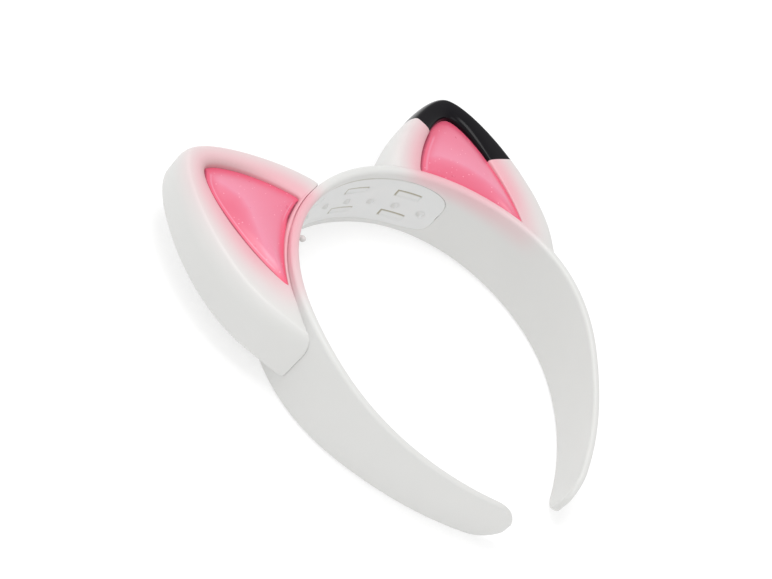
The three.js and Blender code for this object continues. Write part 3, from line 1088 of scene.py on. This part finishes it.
@dataclass(frozen=True)
class EarEdge:
    """Outline of an ear or of its panel, for the right ear seen from the front."""

    inner_foot: float  # distance along the band where the crown-side edge leaves it
    rise: float  # heading of that edge there, in degrees
    rise_pull: float  # length over which it keeps the heading
    tip: Range  # X and Y of the tip
    tip_slope: float  # heading over the tip
    inner_pull: float  # length over which the tip's heading holds before it
    outer_pull: float  # length over which it holds after it
    heel: Range  # X and Y where the outer edge starts to round off
    heel_slope: float  # heading there, looking up the edge
    heel_pull: float  # length over which it holds
    outer_foot: float  # distance along the band of the lower end
    skew: float = 0.0  # how far the points in the middle of the two edges are moved on along them
    # points on the inner edge, the outer edge, the lower end and the base
    steps: tuple[int, int, int, int] = (64, 74, 26, 76)
    heel_round: float = 0.75  # how far the lower end keeps the heel's heading, as a share of its length
    passes: int = 5  # how often the corners are rounded

    def loop(self, curve: BandCurve, off_face: float = 0.0) -> Array:
        """Closed outline: up the inner edge, over the tip, down the outer edge and back on the band.

        The two edges are cubic curves, the lower end is a quadratic one, and the base runs along the
        band. Its corners are then rounded.

        Args:
            curve: centre line of the band.
            off_face: distance of the base from the band's outer face.

        Returns:
            Points X and Y, with the same parts of the loop at the same places in every outline.
        """

        def foot(along: Array) -> Array:
            """Gives points beside the band's outer face."""
            return curve.point(along, curve.half_wall(along) + off_face)

        start, end = foot(np.array([self.inner_foot, self.outer_foot]))
        tip, heel = np.array(self.tip), np.array(self.heel)
        over, down = heading(self.tip_slope), heading(self.heel_slope)
        corner = heel - down * self.heel_round * np.linalg.norm(heel - end)
        inner = [start, start + heading(self.rise) * self.rise_pull, tip - over * self.inner_pull, tip]
        outer = [tip, tip + over * self.outer_pull, heel + down * self.heel_pull, heel]
        on_inner, on_outer, on_heel, on_base = self.steps
        base = foot(np.linspace(self.outer_foot, self.inner_foot, on_base, endpoint=False))
        edges = [bezier(inner, on_inner, self.skew), bezier(outer, on_outer, self.skew)]
        lower = bezier([heel, corner, end], on_heel)
        return relaxed(np.concatenate([*edges, lower, base]), self.passes)


@dataclass(frozen=True)
class Lean:
    """Height of a flat plane that leans with Y."""

    at_crown: float  # height where Y is 0
    lean: float  # rise with each millimetre of Y

    def at(self, y: Array | float) -> Array | float:
        """Gives the plane's height at Y."""
        return self.at_crown + self.lean * y

    def raised(self, flat: Array, lift: Array | float) -> Array:
        """Gives points X and Y their height, with a lift above the plane."""
        return np.concatenate([flat, self.at(flat[:, 1:]) + lift], axis=1)


@dataclass(frozen=True)
class Fold:
    """Soft line along a panel, for the right ear seen from the front."""

    # X of points on it, with the panel's deeper side on the left of the way along it
    x: tuple[float, ...]
    y: tuple[float, ...]  # Y of these points

    def off(self, points: Array) -> Array:
        """Distance from the line, positive on the deeper side.

        It is the least of the distances to the line's straight pieces, with the sign of the cross
        product of the piece and the way to the point.

        Args:
            points: array whose last axis starts with X and Y.

        Returns:
            Signed distances.
        """
        line = np.stack([self.x, self.y], axis=-1)
        start, run = line[:-1], np.diff(line, axis=0)
        way = points[..., None, :2] - start
        share = np.clip((way * run).sum(axis=-1) / (run * run).sum(axis=-1), 0.0, 1.0)
        gap = way - share[..., None] * run
        away = np.linalg.norm(gap, axis=-1)
        nearest = away.argmin(axis=-1)[..., None]
        cross = run[:, 0] * gap[..., 1] - run[:, 1] * gap[..., 0]
        signed = np.where(cross > 0.0, away, -away)
        return np.take_along_axis(signed, nearest, axis=-1)[..., 0]


FOLDS = {
    Side.LEFT: Fold(
        x=(60.5, 59.0, 55.9, 53.6, 53.6, 55.4, 57.4, 59.4, 60.6),
        y=(14.0, 10.5, 5.7, 0.5, -5.0, -11.0, -18.5, -26.7, -36.0),
    ),
    Side.RIGHT: Fold(
        x=(60.0, 59.2, 57.8, 55.6, 52.2, 47.0, 41.9, 36.3, 32.0),
        y=(-34.0, -27.0, -21.0, -14.6, -8.6, -2.8, 0.7, 2.7, 3.6),
    ),
}
# Points of the loop, and how far the gap round the panel is open there.
SEAMS = {
    Side.LEFT: (
        (0, 58, 68, 124, 146, 205, 222, 237, 240),
        (0.1, 0.1, 0.9, 0.8, 0.1, 0.1, 0.5, 0.5, 0.1),
    ),
    Side.RIGHT: ((0, 2, 28, 40, 240), (0.1, 0.6, 0.6, 0.1, 0.1)),
}


@dataclass(frozen=True)
class Tints:
    """Where the painted light and shade in and beside a panel begin and end."""

    # how fast the painted highlight beside the fold fades on the fold's deeper side and on the other
    fold_pale: Range = (2.6, 18.0)
    # shares of the way to the panel's middle over which the painted highlight comes in
    fold_in: Range = (0.0, 0.3)
    edge_out: float = 0.22  # share of that way at which the painted deeper edge ends
    edge_inner: float = 0.5  # how deep it is on the crown side
    seam_shade_out: float = 0.04  # share of that way at which the painted seam shade ends
    seam_shade_open: Range = (0.2, 0.5)  # opening of the seam at which the painted seam shade begins, and is full
    bevel: Range = (0.115, 0.025)  # share of that way and width of the painted highlight along the open seam
    painted_glow: float = 0.9  # most of the painted glow of the panel's light beside it
    reach: float = 7.0  # its width
    low: Range = (-9.0, 1.0)  # heights below the front over which the painted glow comes in
    # Y over which the painted glow grows weaker towards the lower end, and the share lost
    lower_end: Triple = (-20.0, -40.0, 0.5)
    tip_end: Triple = (4.0, 18.0, 0.18)  # the same towards the tip
    stride: int = 3  # step between the points of the panel's edge that distances are taken from
    recess: float = 0.5  # most of the painted shade in the recess
    recess_reach: float = 2.4  # its width
    recess_y: Range = (3.0, 15.0)  # Y over which it comes in
    recess_low: Range = (-9.0, -3.0)  # heights below the front over which it comes in


@dataclass
class Ear:
    """One ear: a rolled shell on the band's outer face and a pink panel set into its front."""

    curve: BandCurve  # centre line of the band
    pose: Pose  # how the band's plane lies
    side: Side  # the side of the head
    # outline of the shell
    rim: EarEdge = EarEdge(
        inner_foot=15.9,
        rise=55.0,
        rise_pull=15.8,
        tip=(63.5, 24.5),
        tip_slope=-28.7,
        inner_pull=9.5,
        outer_pull=12.0,
        heel=(69.3, -48.2),
        heel_slope=58.5,
        heel_pull=29.7,
        outer_foot=94.5,
        skew=0.022,
    )
    # outline of the panel
    panel: EarEdge = EarEdge(
        inner_foot=29.2,
        rise=55.5,
        rise_pull=15.3,
        tip=(59.6, 15.5),
        tip_slope=-35.0,
        inner_pull=5.5,
        outer_pull=8.0,
        heel=(59.6, -33.6),
        heel_slope=71.0,
        heel_pull=17.6,
        outer_foot=71.2,
    )
    front: Lean = Lean(11.4, -0.06)  # plane of the rim's crest
    back: Lean = Lean(-8.9, 0.0)  # plane of the back
    face: Lean = Lean(8.8, -0.135)  # plane of the panel's edge
    # how far the front's roll comes in, how deep it is and its number of rings
    front_roll: tuple[float, float, int] = (4.6, 8.0, 13)
    back_roll: tuple[float, float, int] = (3.4, 4.2, 11)  # the same for the back's roll
    roll_share: float = 0.31  # most of the rim's width that a roll may take
    roll_fade: float = 6.0  # width of rim under which a roll grows shallow
    slope_steps: int = 15  # rings from the crest to the panel
    slope_power: float = 0.7  # power of the sine and cosine there
    base_lip: float = 0.9  # width of the lip between the band and the panel
    lip_step: float = 0.3  # drop from the lip to the panel
    middle: Range = (53.0, -6.0)  # centre of the panel
    back_shares: Triple = (0.7, 0.35, 0.0)  # rings of the back, as shares of the way in to that centre
    back_out: float = 0.6  # place of one more ring, as a share of the way out to the back's roll
    wall_steps: int = 4  # rings of the side between the two rolls
    seat: float = 1.9  # depth of the panel's seat below its face
    seat_shares: Triple = (0.0, 0.4, 0.8)  # rings of the seat, as shares of the way in to the centre
    foot: float = 1.6  # depth of the panel's own foot
    # inset and lift of the rings over the panel's edge, where the seam is widest
    edge: tuple[Range, ...] = ((0.3, -0.75), (0.4, -0.42), (0.6, -0.18), (0.9, -0.05), (1.2, 0.0))
    # first and last ring of the face, as shares of the way in, and their number
    face_shares: tuple[float, float, int] = (0.05, 0.97, 30)
    swell: Range = (1.35, 2.6)  # rise of the panel's middle, and power of its fall towards the edge
    fold_rise: float = 0.7  # height of the panel's soft fold
    fold_widths: Range = (4.0, 7.0)  # width of the fold on its deeper side and on the other
    fold_in: Range = (0.03, 0.35)  # shares of the way to the panel's middle over which the fold comes in
    panel_sharp: float = 50.0  # edges of the panel that bend more than this many degrees stay sharp
    # points of the loop where the right ear's dark tip begins and ends
    tip_ends: tuple[int, int] = (32, 103)
    tints: Tints = Tints()  # painted light and shade in and beside the panel

    def panel_loop(self) -> Array:
        """Gives the panel's outline."""
        return self.panel.loop(self.curve, FIT_GAP + self.base_lip)

    def ring(self, plane: Lean, lift: float, inset: float, share: float) -> Array:
        """One ring of the shell.

        Args:
            plane: plane that the ring follows.
            lift: height above it, which shrinks with the square of the rim's width where that is narrow.
            inset: distance in from the side, towards the panel.
            share: most of the rim's width that the inset may take.

        Returns:
            Points of the ring.
        """
        outline, inner = self.rim.loop(self.curve), self.panel_loop()
        width = np.linalg.norm(inner - outline, axis=1, keepdims=True)
        room = np.minimum(width / self.roll_fade, 1.0) ** 2
        return plane.raised(mixed(outline, inner, np.minimum(inset / width, share)), lift * room)

    def panel_ring(self, inset: Array | float, share: float, lift: Array | float) -> Array:
        """One ring in the panel's outline.

        Args:
            inset: distance in from the edge.
            share: share of the rest of the way in to the middle.
            lift: height above the panel's plane.

        Returns:
            Points of the ring.
        """
        loop, middle = self.panel_loop(), np.array(self.middle)
        begun = inset / np.linalg.norm(loop - middle, axis=1, keepdims=True)
        return self.face.raised(mixed(loop, middle, begun + share * (1.0 - begun)), lift)

    def roll(self, plane: Lean, size: tuple[float, float, int], up: int) -> list[Array]:
        """Rings of a roll, a quarter ellipse from the side of the ear to a plane.

        Args:
            plane: plane that the roll ends on.
            size: how far it comes in, how deep it is and its number of rings.
            up: which way the side lies from the plane, -1 or 1.

        Returns:
            Rings from the side to the plane.
        """
        reach, depth, count = size
        rings = []
        for turn in np.radians(np.linspace(0.0, 90.0, count)):
            rolled, away = 1.0 - math.cos(turn), 1.0 - math.sin(turn)
            rings.append(self.ring(plane, up * depth * away, reach * rolled, self.roll_share * rolled))
        return rings

    def shell_rings(self) -> list[Array]:
        """Rings of the shell, from the middle of its back round the side to the panel's seat.

        The two rolls are quarter ellipses. From the crest of the rim, the surface goes in and down to
        the panel in a quarter of a fuller curve, the sine and cosine to a power below 1.

        Returns:
            Rings of points.
        """
        plate = self.ring(self.back, 0.0, self.back_roll[0], self.roll_share)
        loop, middle = self.panel_loop(), np.array(self.middle)
        rings = [self.back.raised(mixed(loop, middle, share), 0.0) for share in self.back_shares]
        rings.append(mixed(rings[-1], plate, self.back_out))
        rings += self.roll(self.back, self.back_roll, 1)[::-1]
        low, high = rings[-1], self.ring(self.front, -self.front_roll[1], 0.0, 0.0)
        rings += [mixed(low, high, share) for share in np.linspace(0.0, 1.0, self.wall_steps + 2)[1:-1]]
        rings += self.roll(self.front, self.front_roll, -1)
        crest, lip = rings[-1], self.panel_ring(0.0, 0.0, self.lip_step)
        for turn in np.radians(np.linspace(0.0, 90.0, self.slope_steps + 1)[1:]):
            slope = mixed(crest, lip, math.sin(turn) ** self.slope_power)
            slope[:, 2] = mixed(crest[:, 2], lip[:, 2], 1.0 - math.cos(turn) ** self.slope_power)
            rings.append(slope)
        return rings + [self.panel_ring(0.0, share, -self.seat) for share in self.seat_shares]

    def shell(self, columns: Numbers | None = None) -> Shape:
        """Works out the shell, or the part of it over some columns of its rings.

        The stack of rings is closed at the back and under the panel. A part is also closed across the
        ear at its two ends.

        Args:
            columns: points of the loop, in order. The whole loop is taken where there are none.

        Returns:
            The closed shape.
        """
        rings = np.stack(self.shell_rings())
        whole = columns is None
        rings = self.mirrored(rings if whole else rings[:, columns])
        dropped = np.zeros((rings.shape[0] - 1, rings.shape[1]), bool)
        dropped[:, -1] = not whole
        shape, at_middle = Shape(), self.middle[1]
        ends = self.poles(self.back.at(at_middle), self.face.at(at_middle) - self.seat)
        numbers, poles = shape.tube(rings, ends, dropped, whole)
        for end in () if whole else (0, -1):
            section = np.concatenate([poles[:1], numbers[:, end], poles[1:]])
            shape.fan(section, shape.add(rings[:, end].mean(axis=0)))
        return shape

    def poles(self, first: float, last: float) -> Array:
        """Gives the two points over the panel's centre at some heights."""
        return self.mirrored(np.array([(*self.middle, first), (*self.middle, last)]))

    def mirrored(self, points: Array) -> Array:
        """Puts the right ear's points on this ear's side."""
        return points * np.array([self.side.value, 1.0, 1.0])

    def seam(self) -> Array:
        """Width of the gap round the panel, as a share of the widest, for each point of the loop.

        The panel is pressed against the rest of its seat, so the gap opens only on some sides.

        Returns:
            One column of shares.
        """
        return np.interp(np.arange(sum(self.rim.steps)), *SEAMS[self.side])[:, None]

    def panel_rings(self) -> tuple[Array, Array]:
        """Rings of the panel, from its foot over the rounded edge to near its middle.

        The face swells with one less a power of the way that is left to the middle, and a ridge with
        a bell-shaped section follows the fold.

        Returns:
            The rings, and the share of the way in to the middle of each.
        """
        seam, (first, last) = self.seam(), (self.edge[0][0], self.edge[-1][0])
        rings = [self.panel_ring(first * seam, 0.0, -self.foot)]
        rings += [self.panel_ring(inset * seam, 0.0, lift * seam) for inset, lift in self.edge]
        shares = np.linspace(*self.face_shares)
        (rise, power), (deeper, other) = self.swell, self.fold_widths
        for share in shares:
            ring = self.panel_ring(last * seam, share, rise * (1.0 - (1.0 - share) ** power))
            away = FOLDS[self.side].off(ring)
            ridge = np.exp(-((away / np.where(away > 0.0, deeper, other)) ** 2))
            ring[:, 2] += self.fold_rise * ridge * float(eased(*self.fold_in, np.array(share)))
            rings.append(ring)
        return np.stack(rings), np.concatenate([np.zeros(len(self.edge) + 1), shares])

    def panel_piece(self) -> bpy.types.Object:
        """Builds the panel with the attributes of its painted light and shade.

        The painted highlight beside the fold falls off exponentially on both sides. The painted
        highlight along the open seam is a bell curve of the share of the way in.

        Returns:
            The panel.
        """
        rings, shares = self.panel_rings()
        shape = Shape()
        ends = self.poles(self.face.at(self.middle[1]) - self.foot, rings[-1][:, 2].mean())
        shape.tube(self.mirrored(rings), ends)
        piece = shape.piece(f"pink_panel_{self.side.name.lower()}", self.pose, self.panel_sharp)

        def everywhere(column: Array, poles: Range) -> Array:
            """Repeats one value for each point of the loop in all rings, and adds the two poles'."""
            return np.append(np.tile(column, len(shares)), poles)

        tints = self.tints
        away = np.append(FOLDS[self.side].off(rings).ravel(), [-1.0, -1.0])
        depth = np.append(np.repeat(shares, rings.shape[1]), [0.0, 1.0])
        near, far = tints.fold_pale
        fold_highlight = np.where(away > 0.0, np.exp(-away / near), np.exp(away / far))
        opened = everywhere(eased(*tints.seam_shade_open, self.seam()[:, 0]), (0.0, 0.0))
        place, width = tints.bevel
        bevel = opened * np.exp(-(((depth - place) / width) ** 2))
        # painted highlight: the pale line beside the fold, and the one along the open seam
        note(piece, "fold", np.maximum(fold_highlight * eased(*tints.fold_in, depth), bevel))
        # painted deeper pink along the edge, weaker on the crown side
        crown_side = np.arange(rings.shape[1]) < self.rim.steps[0]
        deeper = everywhere(np.where(crown_side, tints.edge_inner, 1.0), (1.0, 1.0))
        note(piece, "edge", deeper * (1.0 - eased(0.0, tints.edge_out, depth)) * (1.0 - bevel))
        note(piece, "painted_seam_shade", opened * (depth < tints.seam_shade_out))
        return piece

    def shell_pieces(self) -> list[bpy.types.Object]:
        """Builds the shell with the attributes of painted glow and painted shade, and on the right its
        dark tip.

        Returns:
            The shell, and the tip where there is one.
        """
        side = self.side.name.lower()
        (begin, end), around = self.tip_ends, sum(self.rim.steps)
        tipped = self.side is Side.RIGHT
        shape = self.shell(np.arange(end, begin + around + 1) % around if tipped else None)
        pieces = [shape.piece(f"ear_{side}", self.pose)]
        note(pieces[0], "painted_glow", self.painted_glow(shape.points()))
        note(pieces[0], "recess", self.recess(shape.points()))
        if tipped:
            tip = self.shell(np.arange(begin, end + 1))
            pieces.append(tip.piece(f"dark_tip_{side}", self.pose))
        return pieces

    def painted_glow(self, points: Array) -> Array:
        """How much painted glow of the panel's pink light lies on points beside it.

        It falls off as a bell curve of the distance from the panel's edge, fades to nothing on
        surfaces well below the front, and is weaker towards the lower end and the tip.

        Args:
            points: points in millimetres in the band's plane.

        Returns:
            A share from 0 to 1 for each point.
        """
        share = eased(*self.tints.low, self.below_front(points))
        for begin, end, lost in (self.tints.lower_end, self.tints.tip_end):
            share = share * (1.0 - lost * eased(begin, end, points[:, 1]))
        bell = np.exp(-((self.off_panel(points) / self.tints.reach) ** 2))
        return self.tints.painted_glow * bell * share

    def recess(self, points: Array) -> Array:
        """Share of painted shade in the deep end of the recess, a bell curve beside the panel's tip.

        Args:
            points: points in millimetres in the band's plane.

        Returns:
            A share from 0 to 1 for each point.
        """
        tints = self.tints
        deep = eased(*tints.recess_y, points[:, 1])
        deep = deep * eased(*tints.recess_low, self.below_front(points))
        bell = np.exp(-((self.off_panel(points) / tints.recess_reach) ** 2))
        return tints.recess * bell * deep

    def below_front(self, points: Array) -> Array:
        """Gives the height of points from the plane of the rim's crest, negative below it."""
        return points[:, 2] - self.front.at(points[:, 1])

    def off_panel(self, points: Array) -> Array:
        """Gives the distance of points from the panel's edge, seen from the front."""
        loop = self.panel_loop()[:: self.tints.stride] * np.array([self.side.value, 1.0])
        return np.linalg.norm(points[:, None, :2] - loop[None], axis=2).min(axis=1)

    def build(self, white: Material, black: Material, pink: Material) -> None:
        """Builds the ear's pieces and dresses them.

        Args:
            white: finish of the shell.
            black: finish of the dark tip.
            pink: finish of the panel.
        """
        side = self.side.name.lower()
        shell, *tips = self.shell_pieces()
        dress(shell, f"ear_shell_{side}", white)
        for tip in tips:
            dress(tip, f"ear_tip_{side}", black)
        dress(self.panel_piece(), f"ear_panel_{side}", pink)


@dataclass
class Studio:
    """Light table, soft lights and the camera."""

    pose: Pose  # how the band's plane lies
    eye: Triple = (-549.02, -265.42, 560.68)  # the camera's place in millimetres in the band's plane
    right: Triple = (0.7187269, -0.4763979, 0.5064353)  # the camera's right in that plane
    down: Triple = (-0.1893765, -0.8349689, -0.5166850)  # the camera's down
    lens: float = 106.98  # focal length in millimetres
    sensor: float = 36.0  # width of the camera's sensor in millimetres
    nearest: float = 0.01  # least distance that the camera sees, in metres
    table: float = 4.0  # half the width of the table in metres, much wider than the view
    light: str = "#FFFFFF"  # colour of the even light from all round
    sky: float = 0.8  # strength of that light
    # place in metres, size and power of each soft box, all aimed at the part
    boxes: tuple[tuple[Triple, float, float], ...] = (
        ((-0.1, 0.2, 0.85), 0.4, 2.6),
        ((-0.5, -0.6, 0.6), 0.6, 1.7),
        ((-0.2, 0.9, 0.35), 0.6, 1.4),
    )

    def camera(self) -> None:
        """Puts the camera at the photograph's angle."""
        turn = self.pose.turn()
        right, up = turn @ np.array(self.right), -(turn @ np.array(self.down))
        axes = np.stack([right, up, np.cross(right, up)], axis=1)
        lens = bpy.data.cameras.new("camera")
        lens.sensor_fit = "HORIZONTAL"
        lens.sensor_width = self.sensor
        lens.lens = self.lens
        lens.clip_start = self.nearest
        eye = put("camera", lens)
        place = Matrix.Translation(self.pose.lay(np.array(self.eye)))
        eye.matrix_world = place @ Matrix(axes.tolist()).to_4x4()
        bpy.context.scene.camera = eye

    def floor(self) -> None:
        """Lays the table's top, a flat square."""
        corners = self.table * np.array([(-1, -1, 0), (1, -1, 0), (1, 1, 0), (-1, 1, 0)])
        mesh = bpy.data.meshes.new("light_table")
        mesh.from_pydata(corners.tolist(), [], [(0, 1, 2, 3)])
        mesh.materials.append(OpalAcrylic().material())
        sheet = put("light_table", mesh)

    def lights(self) -> None:
        """Lights the part evenly from all round, and a little more from the soft boxes."""
        world = bpy.data.worlds.new("studio")
        world.use_nodes = True
        sky = {"Color": linear(self.light), "Strength": self.sky}
        fill(world.node_tree, world.node_tree.nodes["Background"], sky)
        bpy.context.scene.world = world
        for number, (place, size, power) in enumerate(self.boxes):
            lamp = bpy.data.lights.new(f"soft_box_{number}", "AREA")
            lamp.size = size
            lamp.energy = power
            aim = Vector(place).to_track_quat("Z", "Y").to_matrix().to_4x4()
            put(lamp.name, lamp).matrix_world = Matrix.Translation(place) @ aim

    def build(self) -> None:
        """Sets up the camera, the floor and the lights."""
        bpy.context.scene.view_settings.view_transform = "Standard"
        self.camera()
        self.floor()
        self.lights()


def main() -> None:
    """Builds the headband and its studio."""
    logging.basicConfig(level=logging.INFO, format="%(name)s: %(message)s")
    curve, plan = BandCurve(), PadPlan()
    band = Band(curve, plan)
    shape = band.shape()
    pose = Pose().fitted(shape.points(), "band")
    LOG.info("laid at %.2f degrees, shifted %s mm", pose.tilt, np.round(pose.shift, 3))
    Studio(pose).build()
    white, ears = SatinAbs().material(), [Ear(curve, pose, side) for side in Side]
    pink, black = PinkAcrylic().material(), GlossBlackAbs().material()
    band.build(shape, pose, ears, white)
    GripPad(curve, plan).build(pose, MilkySilicone().material())
    for ear in ears:
        ear.build(white, black, pink)


if __name__ == "__main__":
    main()
